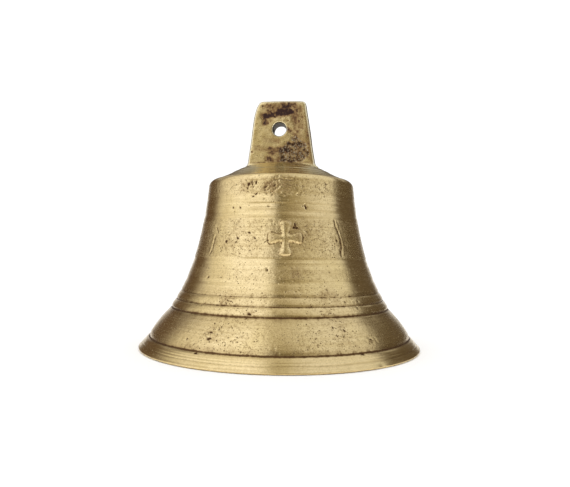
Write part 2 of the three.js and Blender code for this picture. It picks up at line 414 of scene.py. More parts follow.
def column_density(angle):
    """Columns per degree: many on the front, which has the finest relief, few at the back."""
    density = np.full_like(angle, 0.28)
    density += 1.22 * smooth_step(66, 58, np.abs(angle - CAMERA_TURN))
    density += 0.50 * smooth_step(15, 13, np.abs(angle - CROSS_TURN))
    return density


def column_angles():
    start = CAMERA_TURN - 180.0
    return spaced(start, start + 360.0, column_density)[:-1]


# ---- relief, pits and stains on the outside ----

# Where casting pits gather: (angle from the camera's side, height, spread, number, largest radius)
PIT_CLUSTERS = [
    (-22, 47.6, 1.7, 26, 0.36),
    (-27, 47.0, 1.6, 14, 0.26),
    (-3, 47.2, 3.0, 70, 0.24),
    (5, 47.4, 2.2, 30, 0.22),
    (14, 47.2, 2.6, 26, 0.24),
    (27, 46.5, 3.0, 40, 0.20),
    (-31, 41.4, 1.3, 6, 0.26),
    (-8, 37.0, 1.4, 10, 0.26),
    (-30, 32.4, 2.6, 22, 0.26),
    (-17, 33.0, 2.4, 12, 0.24),
    (17, 33.4, 3.0, 60, 0.26),
    (28, 31.0, 3.2, 26, 0.20),
    (41, 31.5, 1.4, 24, 0.30),
    (8, 23.0, 3.2, 60, 0.20),
    (-24, 23.2, 3.0, 20, 0.20),
    (-26, 16.3, 2.2, 34, 0.32),
    (-14, 17.4, 3.0, 22, 0.22),
    (21, 17.3, 3.2, 40, 0.26),
    (33, 16.6, 1.6, 18, 0.30),
    (-13, 12.9, 1.2, 14, 0.34),
    (22, 12.6, 1.5, 26, 0.36),
    (40, 14.3, 1.4, 12, 0.34),
    (50, 12.4, 1.6, 12, 0.34),
    (-27, 8.6, 2.0, 24, 0.36),
    (-22, 10.2, 2.6, 18, 0.28),
    (26, 9.2, 1.7, 34, 0.30),
    (24, 10.8, 2.2, 24, 0.26),
    (38, 6.2, 1.1, 18, 0.36),
    (24, 5.8, 2.6, 40, 0.26),
    (12, 6.6, 3.4, 34, 0.22),
    (-14, 6.0, 4.0, 50, 0.22),
    (-31, 5.8, 2.0, 14, 0.26),
    (120, 45.0, 4.0, 26, 0.45),
    (160, 33.0, 6.0, 40, 0.42),
    (-150, 14.0, 5.0, 36, 0.45),
    (-100, 8.0, 6.0, 40, 0.45),
    (110, 22.0, 5.0, 30, 0.40),
    (-120, 38.0, 5.0, 30, 0.42),
    (80, 7.0, 5.0, 34, 0.42),
]

# The largest single pits: (angle from the camera's side, height, radius, stretch, lean in degrees)
LARGE_PITS = [
    (-22.9, 47.9, 0.40, 2.4, 65),
    (-21.0, 48.5, 0.30, 1.6, 20),
    (-17.5, 48.3, 0.36, 2.2, 75),
    (-23.9, 46.8, 0.32, 1.5, 60),
    (-19.5, 47.0, 0.30, 1.3, 0),
    (-26.8, 47.6, 0.28, 1.2, 0),
    (-26.8, 46.2, 0.24, 1.8, 90),
    (-17.1, 45.1, 0.40, 1.5, 40),
    (-19.1, 44.4, 0.32, 1.6, 20),
    (-21.7, 41.9, 0.24, 1.2, 90),
    (-34.4, 41.5, 0.30, 1.6, 130),
    (-28.3, 41.3, 0.32, 1.3, 90),
    (-4.3, 47.6, 0.32, 1.5, 0),
    (10.3, 47.7, 0.28, 1.3, 0),
    (14.7, 47.4, 0.30, 1.6, 30),
    (11.1, 45.1, 0.24, 1.2, 0),
    (16.5, 41.5, 0.36, 2.3, 103),
    (14.6, 41.8, 0.26, 1.6, 35),
    (9.0, 36.5, 0.42, 1.7, 100),
    (10.0, 35.6, 0.38, 1.4, 30),
    (8.1, 35.7, 0.34, 1.5, 60),
    (-36.0, 31.9, 0.40, 1.5, 90),
    (-27.3, 32.7, 0.36, 1.5, 0),
    (-28.3, 31.7, 0.30, 1.3, 60),
    (-19.8, 34.3, 0.36, 1.4, 0),
    (-19.9, 32.1, 0.26, 1.0, 0),
    (-15.8, 32.8, 0.26, 2.2, 120),
    (-7.4, 32.1, 0.32, 1.3, 0),
    (-18.2, 29.4, 0.26, 1.2, 0),
    (-24.4, 28.5, 0.28, 1.3, 30),
    (-39.9, 30.0, 0.26, 1.3, 0),
    (38.1, 32.4, 0.36, 1.2, 90),
    (-6.9, 24.2, 0.34, 1.2, 90),
    (-44.0, 21.8, 0.30, 2.2, 40),
    (-33.8, 22.0, 0.26, 1.4, 0),
    (-13.2, 12.9, 0.34, 1.8, 0),
    (20.0, 12.7, 0.26, 1.8, 0),
    (-28.0, 10.4, 0.34, 1.4, 60),
    (-24.0, 9.8, 0.26, 1.2, 0),
    (-27.7, 8.4, 0.42, 1.9, 20),
    (-30.4, 8.0, 0.26, 1.8, 130),
    (-27.6, 6.9, 0.50, 1.9, 20),
    (-37.7, 6.2, 0.34, 1.4, 90),
    (26.7, 9.2, 0.36, 1.7, 90),
    (22.2, 10.1, 0.30, 1.2, 0),
    (16.0, 9.4, 0.26, 1.2, 0),
    (37.6, 6.7, 0.26, 1.4, 60),
    (38.2, 5.8, 0.28, 1.3, 90),
    (10.4, 5.5, 0.24, 2.4, 60),
    (-30.9, 3.4, 0.46, 1.6, 0),
    (31.4, 3.7, 0.50, 1.8, 10),
]
LOOSE_PITS = 170
PIT_DEPTH = 0.17

# Dents in the edge of the rim: (angle from the camera's side, height, depth)
RIM_DENTS = [(-22.0, 0.3, 0.22), (12.0, 0.2, 0.10), (37.0, 0.4, 0.12), (150.0, 0.4, 0.2)]
RIM_DENT_REACH = 0.9


def wall_point(angle, height):
    radius = float(wall_radius(np.array([height]))[0])
    turn = math.radians(angle)
    return np.array([radius * math.sin(turn), -radius * math.cos(turn), height])


def seen_point(angle, height):
    """Point of the wall at an angle from the camera's side."""
    return wall_point(angle + CAMERA_TURN, height)


def casting_pits():
    """The pits as (centre, radius, stretch, lean): the large ones, the clusters, then loose ones."""
    draw = random.Random(31)
    pits = []
    for angle, height, radius, stretch, lean in LARGE_PITS:
        pits.append((seen_point(angle, height), radius, stretch, math.radians(lean)))
    for angle, height, spread, count, largest in PIT_CLUSTERS:
        radius = float(wall_radius(np.array([height]))[0])
        for _ in range(count):
            across = draw.gauss(0, spread)
            up = draw.gauss(0, spread * 0.6)
            size = largest * (0.32 + 0.56 * draw.random() ** 1.8)
            place = (angle + CAMERA_TURN + math.degrees(across / radius), min(50.0, height + up))
            if place[1] < 4.2:
                continue
            pits.append((wall_point(*place), size, 1.0 + 1.2 * draw.random() ** 2, draw.uniform(0, math.pi)))
    for _ in range(LOOSE_PITS):
        place = (draw.uniform(-180, 180), draw.uniform(4.5, 49.0))
        size = 0.11 + 0.17 * draw.random() ** 3
        pits.append((wall_point(*place), size, 1.0 + draw.random(), draw.uniform(0, math.pi)))
    return pits


def pit_crowd(points):
    """How closely fine pits crowd round each cluster, from 0 to 1."""
    crowd = np.zeros(len(points))
    for angle, height, spread, count, _ in PIT_CLUSTERS:
        away = np.linalg.norm(points - seen_point(angle, height), axis=1)
        crowd = np.maximum(crowd, min(1.0, count / (8.0 + 7.0 * spread)) * hump(away, 1.7 * spread))
    return crowd * (points[:, 2] > 4.0)


def pit_strength(points, pits):
    """1 in the middle of a pit and 0 outside every pit, for each point."""
    strength = np.zeros(len(points))
    ragged = 1.0 + 0.45 * cast_noise(points, 0.45, 9)
    for centre, radius, stretch, lean in pits:
        near = np.abs(points - centre).max(axis=1) < radius * (stretch + 0.6)
        if not near.any():
            continue
        offset = points[near] - centre
        around = np.array([-centre[1], centre[0], 0.0])
        around /= np.linalg.norm(around)
        side = offset @ around
        rise = np.linalg.norm(offset - np.outer(side, around), axis=1) * np.sign(offset[:, 2])
        u = side * math.cos(lean) + rise * math.sin(lean)
        v = -side * math.sin(lean) + rise * math.cos(lean)
        distance = np.sqrt((u / stretch) ** 2 + v**2) / radius * ragged[near]
        weight = min(1.0, 0.42 + 1.7 * radius)
        strength[near] = np.maximum(strength[near], weight * np.clip(1.15 - distance**2, 0.0, 1.0))
    return strength


# Cold-shut wrinkles and mould seams: lines of (angle from the camera's side, height), then half width,
# height of the ridge (negative for a furrow) and darkness
WRINKLES = [
    ([(37.9, 38.2), (37.9, 36.9), (38.9, 35.9), (40.1, 34.7), (41.1, 33.0), (41.3, 30.9), (39.6, 29.2),
      (39.5, 27.9)], 0.20, -0.14, 1.0),
    ([(39.3, 37.6), (40.6, 35.2), (42.2, 32.8), (42.6, 30.4), (41.2, 28.4)], 0.30, 0.07, 0.0),
    ([(-46.8, 35.8), (-44.9, 34.3)], 0.20, -0.12, 0.6),
    ([(-47.2, 33.1), (-47.3, 31.5), (-47.4, 29.5), (-48.6, 28.4)], 0.22, -0.14, 0.7),
    ([(-48.6, 33.8), (-49.0, 31.0), (-49.2, 29.0)], 0.30, 0.06, 0.0),
    ([(-34.8, 37.4), (-35.5, 36.4)], 0.20, -0.08, 0.5),
    ([(-28.0, 38.0), (-30.7, 35.5), (-33.8, 33.5), (-35.8, 32.3)], 0.42, -0.08, 0.34),
    ([(-29.6, 37.8), (-32.6, 35.2), (-35.6, 33.2)], 0.36, 0.12, 0.0),
    ([(-30.5, 37.1), (-26.6, 37.2)], 0.20, -0.06, 0.35),
    ([(-36.5, 30.6), (-35.3, 29.5), (-32.1, 28.6), (-28.6, 28.3)], 0.30, -0.08, 0.36),
    ([(-11.5, 46.2), (-9.1, 47.6), (-5.7, 48.7), (-1.0, 49.3), (3.9, 48.8), (8.5, 49.0)], 0.22, -0.10, 0.65),
    ([(-12.5, 47.0), (-8.0, 48.4), (-3.0, 49.9)], 0.20, -0.06, 0.5),
    ([(1.5, 48.0), (6.0, 47.4), (9.5, 47.9)], 0.22, -0.08, 0.5),
    ([(-10.0, 45.8), (-7.0, 46.9), (-4.5, 47.2)], 0.18, -0.08, 0.7),
    ([(-6.5, 45.4), (-3.0, 46.6), (0.5, 48.2)], 0.18, -0.08, 0.6),
    ([(-1.0, 45.2), (1.5, 46.4), (5.0, 46.2), (7.5, 45.0)], 0.18, -0.07, 0.55),
    ([(31.8, 49.0), (33.2, 48.3), (32.3, 47.5), (35.2, 46.4)], 0.18, -0.10, 0.85),
    ([(17.5, 36.8), (15.0, 35.2), (17.8, 33.4)], 0.30, -0.08, 0.35),
    ([(24.0, 36.0), (27.5, 35.0), (31.0, 35.4)], 0.24, -0.05, 0.2),
    ([(33.0, 31.5), (36.0, 30.6), (35.5, 29.4), (32.5, 29.0)], 0.22, -0.06, 0.3),
    ([(-58.0, 24.0), (-60.0, 20.0)], 0.30, 0.05, 0.0),
    ([(48.0, 25.0), (51.0, 21.5), (52.5, 19.0)], 0.28, 0.05, 0.0),
    ([(120.0, 36.0), (124.0, 33.0), (122.0, 29.0)], 0.30, -0.18, 0.8),
    ([(-150.0, 37.0), (-146.0, 34.0), (-140.0, 33.0)], 0.30, -0.16, 0.7),
]


def wrinkle_fields(points):
    """Height added by the wrinkles, and how dark they are, for each point."""
    added = np.zeros(len(points))
    darkness = np.zeros(len(points))
    uneven = 1.0 + 0.8 * cast_noise(points, 0.8, 14)
    for line, half_width, ridge, dark in WRINKLES:
        nearest = np.full(len(points), 99.0)
        for start, end in zip(line, line[1:]):
            nearest = np.minimum(nearest, line_distance(points, seen_point(*start), seen_point(*end)))
        share = hump(nearest, half_width) * np.clip(uneven, 0.15, 1.6)
        added += ridge * share
        darkness = np.maximum(darkness, dark * share)
    return added, np.clip(1.2 * darkness, 0.0, 1.0)


def cross_height(across, up):
    """Height of the raised cross, from 0 to 1: four arms with round backs that widen towards their ends."""
    height = np.zeros(across.shape)
    for along, wide in ((across, up), (-across, up), (up, across), (-up, across)):
        half_width = 0.75 + 1.15 * np.clip(along / CROSS_REACH, 0.0, 1.0) ** 1.4
        over = np.clip(along - (CROSS_REACH - 0.9), 0.0, None) / 0.9
        round_back = np.clip(1.0 - (wide / half_width) ** 2 - over**2, 0.0, 1.0)
        height = np.maximum(height, np.sqrt(round_back) * (along > -0.3))
    boss = np.clip(1.0 - (across**2 + up**2) / 1.5**2, 0.0, 1.0)
    return np.maximum(height, 1.1 * np.sqrt(boss))


def beside_cross(across, up):
    """1 in the corner where the raised cross meets the wall, 0 elsewhere."""
    near = np.zeros(across.shape)
    for step in range(8):
        turn = step * math.pi / 4
        near = np.maximum(near, cross_height(across + 0.4 * math.cos(turn), up + 0.4 * math.sin(turn)))
    return np.clip(near * 1.5, 0.0, 1.0) * (cross_height(across, up) < 0.3)


def cast_noise(points, scale, seed):
    """Smooth random bumps from -1 to 1 with the given size in millimetres."""
    shift = Vector((seed * 7.3, seed * 3.1, seed * 5.7))
    return np.array([noise.noise(Vector(p) / scale + shift) for p in points])


def shape_wall(shell, pits):
    """Adds the cross, the as-cast bumps, the wrinkles, the pits and small dents to the outside wall."""
    points = positions(shell)
    radius, angle = radius_and_angle(points)
    height = points[:, 2]
    outside = (radius > wall_radius(height) - 2.0) & (height > 0.2) & (height < 51.0)
    outward = np.zeros(len(points))

    across = np.radians(angle - CROSS_TURN) * radius
    outward += CROSS_RELIEF * cross_height(across, height - CROSS_HEIGHT)

    rough = cast_band_mask(height)
    bumps = np.zeros(len(points))
    bumps[outside] = 0.6 * cast_noise(points[outside], 0.9, 1) + 0.5 * cast_noise(points[outside], 3.2, 2)
    outward += (0.008 + 0.040 * rough) * bumps

    added, _ = wrinkle_fields(points)
    outward += added - PIT_DEPTH * pit_strength(points, pits)
    for dent, where, depth in RIM_DENTS:
        away = np.hypot(np.radians(angle - CAMERA_TURN - dent) * radius, (height - where) * 1.5)
        outward -= depth * hump(away, RIM_DENT_REACH)

    outward[~outside] = 0.0
    for axis in (0, 1):
        points[:, axis] += outward * points[:, axis] / np.maximum(radius, 1e-6)
    move_to(shell, points)


def cast_band_mask(height):
    mask = np.zeros_like(height)
    for top, bottom, proud in CAST_BANDS:
        band = plateau(bottom - 0.2, bottom + 0.4, top - 0.4, top + 0.2, height)
        mask = np.maximum(mask, min(1.0, proud / 0.08) * band)
    for share, *edges in HALF_CAST_BANDS:
        mask = np.maximum(mask, share * plateau(*edges, height))
    return mask


# ---- lug ----

def bend(start, control, end, steps):
    t = np.linspace(0.0, 1.0, steps + 1)[1:, None]
    start, control, end = (np.array(p) for p in (start, control, end))
    return (1 - t) ** 2 * start + 2 * t * (1 - t) * control + t**2 * end


def lug_outline():
    """Corners of the lug seen from the front, in X and Z: a tapered plate with a soft left corner."""
    left_top, top_left, top_right, right_top = (-8.75, 71.4), (-6.2, 76.95), (6.75, 76.8), (7.9, 75.6)
    return np.vstack([
        [(LUG_ROOT_LEFT, LUG_ROOT), left_top],
        bend(left_top, (-7.95, 76.6), top_left, 8),
        bend(top_left, (0.6, 2 * LUG_TOP - 76.9), top_right, 10),
        bend(top_right, (7.75, 76.75), right_top, 5),
        [(LUG_ROOT_RIGHT, LUG_ROOT)],
    ])


def flat_plate(name, outline, half_thickness):
    count = len(outline)
    front = [(x, -half_thickness, z) for x, z in outline]
    back = [(x, half_thickness, z) for x, z in outline]
    faces = [tuple(reversed(range(count))), tuple(range(count, 2 * count))]
    for i in range(count):
        after = (i + 1) % count
        faces.append((i, after, count + after, count + i))
    return new_object(name, front + back, faces)


def bore_cutter():
    """Cylinder along Y that is a little wider at both faces of the lug, for the worn edge of the bore."""
    wide = BORE_RADIUS + 0.30
    edge = LUG_HALF_THICKNESS
    back = [(edge - 0.8, BORE_RADIUS - 0.02), (edge - 0.25, BORE_RADIUS), (edge + 0.1, wide), (9.0, wide)]
    stations = [(-y, radius) for y, radius in reversed(back)] + back
    # A rise of a millionth from station to station gives tube() a plane to work in
    path = [(BORE_X, y, BORE_HEIGHT + 1e-6 * i) for i, (y, _) in enumerate(stations)]
    return tube("bore_cutter", path, [radius for _, radius in stations], sides=48)


def make_lug():
    """The drilled plate with soft edges, spread a little at its foot where it runs into the crown."""
    lug = flat_plate("lug", lug_outline(), LUG_HALF_THICKNESS)
    edge = {"width": LUG_EDGE * MM, "segments": 3, "limit_method": "ANGLE", "angle_limit": math.radians(50)}
    apply_modifier(lug, "BEVEL", **edge)
    boolean(lug, bore_cutter(), "DIFFERENCE")
    remesh(lug, LUG_MESH_SIZE, 2)
    points = positions(lug)
    foot = np.clip((CROWN_TOP + LUG_FILLET["height"] - points[:, 2]) / LUG_FILLET["height"], 0.0, 1.0)
    fillet = 1.0 - np.sqrt(np.clip(1.0 - foot**2, 0.0, 1.0))
    fillet = np.where(points[:, 2] < CROWN_TOP - 0.3, 1.0, np.clip(fillet, 0.0, 1.0))
    points[:, 0] += LUG_FILLET["ends"] * fillet * np.clip(points[:, 0] / 9.0, -1.0, 1.0)
    points[:, 1] += LUG_FILLET["faces"] * fillet * np.clip(points[:, 1] / 2.5, -1.0, 1.0)
    move_to(lug, points)
    return lug


def shape_lug(bell):
    """Uneven cast faces on the lug: low waves, and the eaten patch and pits of its stained corner."""
    points = positions(bell)
    on_lug = points[:, 2] > CROWN_TOP + 0.6
    chosen = points[on_lug]
    normals = of_vertices(bell, "normal")[on_lug]
    waves = 0.09 * cast_noise(chosen, 5.0, 4) + 0.03 * cast_noise(chosen, 1.2, 5)
    eaten = stain_strength(chosen, LUG_EATEN)
    waves -= eaten * (0.10 + 0.17 * cast_noise(chosen, 0.46, 6) + 0.10 * cast_noise(chosen, 1.6, 7))
    waves -= 0.06 * stain_strength(chosen, LUG_STAINS)
    room = smooth_step(LUG_TOP - 0.05, LUG_TOP - 0.8, chosen[:, 2])
    points[on_lug] += normals * (waves * room)[:, None]
    points[:, 2] = np.minimum(points[:, 2], LUG_TOP)
    move_to(bell, points)


# Brown stains on the lug: (x, z, x, z, radius, strength, side), each a soft stroke between two points.
# Side is -1 on the front and 1 on the back. A strength under 0.6 is a haze that shows only in patches.
LUG_STAINS = [
    (-5.4, 72.2, -1.0, 73.0, 1.05, 1.12, -1),
    (-1.0, 73.0, 3.2, 73.5, 1.10, 1.36, -1),
    (-4.6, 74.8, -0.6, 75.3, 1.00, 0.72, -1),
    (0.8, 75.2, 4.2, 75.2, 1.25, 0.94, -1),
    (-3.6, 74.1, 4.2, 74.4, 1.60, 0.74, -1),
    (-5.3, 72.6, -5.4, 69.8, 0.65, 0.85, -1),
    (-3.4, 71.0, -5.0, 69.8, 0.70, 0.50, -1),
    (3.6, 73.8, 4.4, 70.4, 0.95, 0.85, -1),
    (4.6, 70.4, 4.6, 67.4, 0.60, 0.62, -1),
    (5.2, 74.4, 6.2, 69.0, 1.40, 0.54, -1),
    (8.2, 70.0, 9.4, 58.0, 0.80, 0.46, -1),
    (1.9, 67.9, 3.0, 67.3, 0.60, 1.00, -1),
    (3.2, 67.2, 4.6, 66.0, 0.70, 0.72, -1),
    (5.0, 66.4, 6.6, 62.6, 1.60, 0.60, -1),
    (-5.0, 64.8, -0.8, 63.8, 0.80, 0.44, -1),
    (-8.0, 62.2, -3.0, 61.8, 0.90, 0.40, -1),
    (-3.4, 61.9, -1.6, 61.2, 0.65, 0.85, -1),
    (-4.3, 58.8, -2.8, 58.2, 0.80, 0.85, -1),
    (-2.6, 60.4, 0.4, 59.4, 1.10, 0.60, -1),
    (-0.4, 61.4, 2.6, 61.6, 1.10, 1.10, -1),
    (2.4, 63.0, 7.2, 63.0, 0.90, 1.00, -1),
    (2.6, 61.0, 6.8, 60.6, 1.60, 0.74, -1),
    (-0.4, 58.6, 5.4, 58.4, 1.20, 0.86, -1),
    (-5.9, 75.4, -5.8, 75.3, 0.26, 1.0, -1),
    (2.1, 70.6, 2.2, 70.6, 0.26, 0.8, -1),
    (-9.3, 60.8, -9.0, 60.8, 0.28, 1.0, -1),
    (-9.6, 57.4, 10.0, 57.4, 0.28, 0.62, -1),
    (-3.8, 73.0, 5.0, 72.4, 0.90, 0.9, 1),
    (4.9, 72.2, 5.2, 69.6, 0.60, 0.7, 1),
    (-6.4, 62.0, -1.8, 60.2, 1.50, 0.6, 1),
    (2.0, 59.0, 6.0, 58.8, 0.70, 0.6, 1),
    (-9.6, 57.4, 10.0, 57.4, 0.28, 0.62, 1),
]

# Where the face of the lug is eaten into small dark pits, with bright rims that are painted glints
LUG_EATEN = [
    (4.2, 65.0, 6.4, 63.4, 0.80, 0.9, -1),
    (2.4, 62.6, 7.0, 62.6, 1.00, 0.9, -1),
    (1.0, 60.4, 7.0, 60.4, 1.50, 1.0, -1),
    (0.6, 58.6, 6.2, 58.6, 0.90, 0.8, -1),
    (-4.5, 72.6, 3.6, 73.4, 0.50, 0.3, -1),
    (-6.0, 61.6, -2.4, 60.6, 1.20, 0.8, 1),
]


def stain_strength(points, strokes):
    strength = np.zeros(len(points))
    for x0, z0, x1, z1, radius, amount, side in strokes:
        distance = line_distance(points[:, [0, 2]], np.array([x0, z0]), np.array([x1, z1]))
        facing = smooth_step(0.5, 2.0, points[:, 1] * side)
        strength = np.maximum(strength, amount * facing * smooth_step(1.9 * radius, 0.3 * radius, distance))
    return strength


# ---- the casting as one piece ----

# Soft brown patches on the turned wall: (angle from the camera's side, height, reach, strength)
WALL_PATCHES = [
    (-6, 47.4, 3.0, 0.60),
    (3, 47.2, 3.0, 0.50),
    (-24, 47.2, 2.4, 0.50),
    (9, 36.0, 1.6, 0.62),
    (16, 34.0, 3.0, 0.40),
    (8, 23.2, 4.2, 0.32),
    (41, 31.6, 2.0, 0.34),
    (-31, 31.8, 2.6, 0.22),
    (-26, 16.6, 2.6, 0.40),
    (24, 17.4, 3.0, 0.36),
    (-13, 12.9, 1.6, 0.40),
    (22, 12.8, 2.0, 0.46),
    (-27, 7.6, 2.2, 0.26),
    (26, 9.6, 2.4, 0.30),
    (24, 5.4, 2.6, 0.26),
    (38, 5.8, 1.6, 0.36),
    (150, 40.0, 7.0, 0.40),
    (-130, 20.0, 8.0, 0.35),
]


def wall_patches(points):
    strength = np.zeros(len(points))
    for angle, height, reach, amount in WALL_PATCHES:
        away = np.linalg.norm(points - seen_point(angle, height), axis=1)
        strength = np.maximum(strength, amount * hump(away, reach))
    return strength


# Groove dirt mixed with painted shade, from the bands above, by height
def groove_dirt_and_shade(height):
    dirt_and_shade = np.zeros_like(height)
    for centre, above, below, strength in DIRT_AND_SHADE_BANDS:
        dirt_and_shade = np.maximum(dirt_and_shade, strength * lopsided_hump(height, centre, above, below))
    return dirt_and_shade


def make_bell():
    """The whole casting: turned wall and crown, hollowed out, with the lug joined to it."""
    pits = casting_pits()
    shell = turned("bell_casting", outside_outline(), column_angles())
    shape_wall(shell, pits)
    boolean(shell, turned("hollow", hollow_outline(), np.arange(0.0, 360.0, 3.0)), "DIFFERENCE")
    boolean(shell, make_lug(), "UNION")
    shape_lug(shell)

    points = positions(shell)
    height = points[:, 2]
    radius, angle = radius_and_angle(points)
    middle = (wall_radius(height) + flare_radius(HOLLOW, height)) / 2
    below_crown = smooth_step(50.8, 50.0, height)
    inside = np.where(height < 46.0, (radius < middle) * 1.0, below_crown * (radius < 20.6))
    outside = 1.0 - inside
    on_wall = outside * (height < 51.5)
    on_lug = smooth_step(CROWN_TOP + 0.1, CROWN_TOP + 0.9, height)
    near_bore = np.hypot(points[:, 0] - BORE_X, height - BORE_HEIGHT) < BORE_RADIUS + 0.07
    in_bore = near_bore & (np.abs(points[:, 1]) < 2.85)
    across_lug = np.abs(of_vertices(shell, "normal")[:, 1])
    # Faces of the lug turned part way from front or back, on its bevels, the chamfer of the bore and the
    # uneven eaten patch: wear, lightened further as a painted highlight
    worn = on_lug * plateau(0.20, 0.40, 0.88, 0.97, across_lug) * (1.0 - in_bore)
    _, wrinkle_dark = wrinkle_fields(points)
    turn = angle - CROSS_TURN
    corner = beside_cross(np.radians(turn) * radius, height - CROSS_HEIGHT) * (np.abs(turn) < 40)
    masks = {
        "pit": on_wall * np.maximum(pit_strength(points, pits), 0.9 * wrinkle_dark),
        "crowd": on_wall * pit_crowd(points),
        "stain": np.maximum(on_wall * wall_patches(points), stain_strength(points, LUG_STAINS)),
        "eaten": stain_strength(points, LUG_EATEN),
        "as_cast": np.maximum(on_wall * cast_band_mask(height), on_lug),
        # Dirt and painted shade in the grooves and their coves, and round the foot of the raised cross
        "dirt_and_shade": on_wall * np.maximum(groove_dirt_and_shade(height), 0.75 * corner),
        "inside": inside,
        "lug": on_lug,
        "bore": in_bore,
        # Wear with a painted highlight on the lug's bevels
        "worn": worn,
        "crown": outside * smooth_step(51.2, 51.6, height) * (1.0 - on_lug),
    }
    for name, values in masks.items():
        layer = shell.data.attributes.new(name, "FLOAT", "POINT")
        layer.data.foreach_set("value", np.asarray(values, np.float32))
    return shell


# ---- clapper ----

STAPLE_WIRE = 1.5
STAPLE_HALF_WIDTH = 5.0
STAPLE_BAR = 43.5
LINK_WIRE = 1.0
LINK_BOW = 2.8
LINK_LENGTH = 7.6
EYE_WIRE = 1.2
EYE_RING = 2.8
SHANK_RADIUS = 1.5
BALL_RADIUS = 7.5
BALL_HEIGHT = 10.4
STRIKE_MARK = {"above": 1.5, "reach": 2.2, "depth": 0.16}


def upright_arc(centre, radius, start, stop, steps, plane):
    """Points of an arc about (0, 0, centre), in the plane that is named."""
    return np.insert(arc(0.0, centre, radius, start, stop, steps), 1 if plane == "XZ" else 0, 0.0, axis=1)


def make_staple():
    centre = STAPLE_BAR + STAPLE_HALF_WIDTH
    top = BOSS_BOTTOM + 2.0
    legs = np.linspace(top, centre, 5)[:-1]
    left = np.column_stack([np.zeros(4), np.full(4, -STAPLE_HALF_WIDTH), legs])
    right = np.column_stack([np.zeros(4), np.full(4, STAPLE_HALF_WIDTH), legs[::-1]])
    path = np.vstack([left, upright_arc(centre, STAPLE_HALF_WIDTH, 180, 360, 40, "YZ"), right])
    worn = STAPLE_WIRE - 0.06 * hump(path[:, 1], 1.6) * (path[:, 2] < centre)
    staple = tube("iron_staple", path, worn, sides=24)
    shake(staple, 0.05, 1.6, 11)
    return staple


def make_link():
    low = STAPLE_BAR - LINK_LENGTH + LINK_BOW
    sides = np.linspace(STAPLE_BAR, low, 9)[1:-1]
    left = np.column_stack([np.full(7, -LINK_BOW), np.zeros(7), sides])
    right = np.column_stack([np.full(7, LINK_BOW), np.zeros(7), sides[::-1]])
    upper = upright_arc(STAPLE_BAR, LINK_BOW, 0, 180, 28, "XZ")
    lower = upright_arc(low, LINK_BOW, 180, 360, 28, "XZ")
    path = np.vstack([upper, left, lower, right])
    weld = hump(path[:, 2] - (STAPLE_BAR + low) / 2, 0.5) * (path[:, 0] > 0)
    link = tube("oval_link", path, LINK_WIRE + 0.10 * weld, sides=20, closed=True)
    shake(link, 0.025, 1.2, 12)
    return link


def make_shank():
    eye_height = STAPLE_BAR - LINK_LENGTH
    circle = upright_arc(eye_height, EYE_RING, -90, 270, 56, "YZ")[:-1]
    ring = tube("eye", circle, EYE_WIRE, sides=20, closed=True)
    bore = SHANK_RADIUS + 0.3
    ball_top = BALL_HEIGHT + math.sqrt(BALL_RADIUS**2 - bore**2)
    ball_bottom = 2 * BALL_HEIGHT - ball_top
    high = eye_height - EYE_RING
    low = ball_bottom - 1.2
    outline = np.array([
        (0, high + 0.3), (0.9, high + 0.3), (1.75, high - 1.2), (SHANK_RADIUS, high - 3.2),
        (SHANK_RADIUS, ball_top + 3.0), (1.75, ball_top + 1.9), (2.45, ball_top + 1.45),
        (2.6, ball_top + 1.1), (2.6, ball_top + 0.6), (2.4, ball_top + 0.3), (SHANK_RADIUS, ball_top + 0.28),
        (SHANK_RADIUS, ball_bottom - 0.28), (2.3, ball_bottom - 0.3), (2.4, ball_bottom - 0.55),
        (2.1, low + 0.25), (1.2, low + 0.03), (0, low),
    ])
    shaft = turned("shaft", outline, np.arange(0.0, 360.0, 7.5))
    boolean(ring, shaft, "UNION")
    ring.name = "clapper_shank_wire"
    remesh(ring, 0.16, 3)
    shake(ring, 0.03, 1.4, 13)
    return ring


def make_ball():
    """Turned ball with flats round its bore, a fine line round its middle and the marks of striking."""
    bore = SHANK_RADIUS + 0.25
    angles = np.radians(np.linspace(75.5, -75.5, 90))
    outside = BALL_RADIUS * np.column_stack([np.cos(angles), np.sin(angles)])
    outside[:, 0] -= 0.07 * hump(outside[:, 1], 0.22)
    flat_top = math.sqrt(BALL_RADIUS**2 - bore**2) - 0.02
    hole = np.array([(bore, h) for h in np.linspace(-flat_top + 0.35, flat_top - 0.35, 12)])
    loop = np.vstack([outside, hole])
    loop[:, 1] += BALL_HEIGHT
    turn = np.radians(np.arange(0.0, 360.0, 3.0))
    ball = new_object("brass_ball", lathe_rings(loop, turn), ring_faces(len(loop), len(turn), closed=True))
    points = positions(ball)
    flattened = np.zeros(len(points))
    for side in (BALL_RADIUS, -BALL_RADIUS):
        away = np.linalg.norm(points - (side, 0.0, BALL_HEIGHT + STRIKE_MARK["above"]), axis=1)
        flattened += STRIKE_MARK["depth"] * hump(away, STRIKE_MARK["reach"])
    out = points - (0.0, 0.0, BALL_HEIGHT)
    out /= np.linalg.norm(out, axis=1)[:, None]
    move_to(ball, points - out * flattened[:, None])
    return ball


def shake(piece, amount, scale, seed):
    """Small smooth unevenness inwards along the normals, as hand-bent or worn metal has."""
    points = positions(piece)
    drop = amount * (0.5 + 0.5 * cast_noise(points, scale, seed))
    move_to(piece, points - of_vertices(piece, "normal") * drop[:, None])


# ---- materials ----

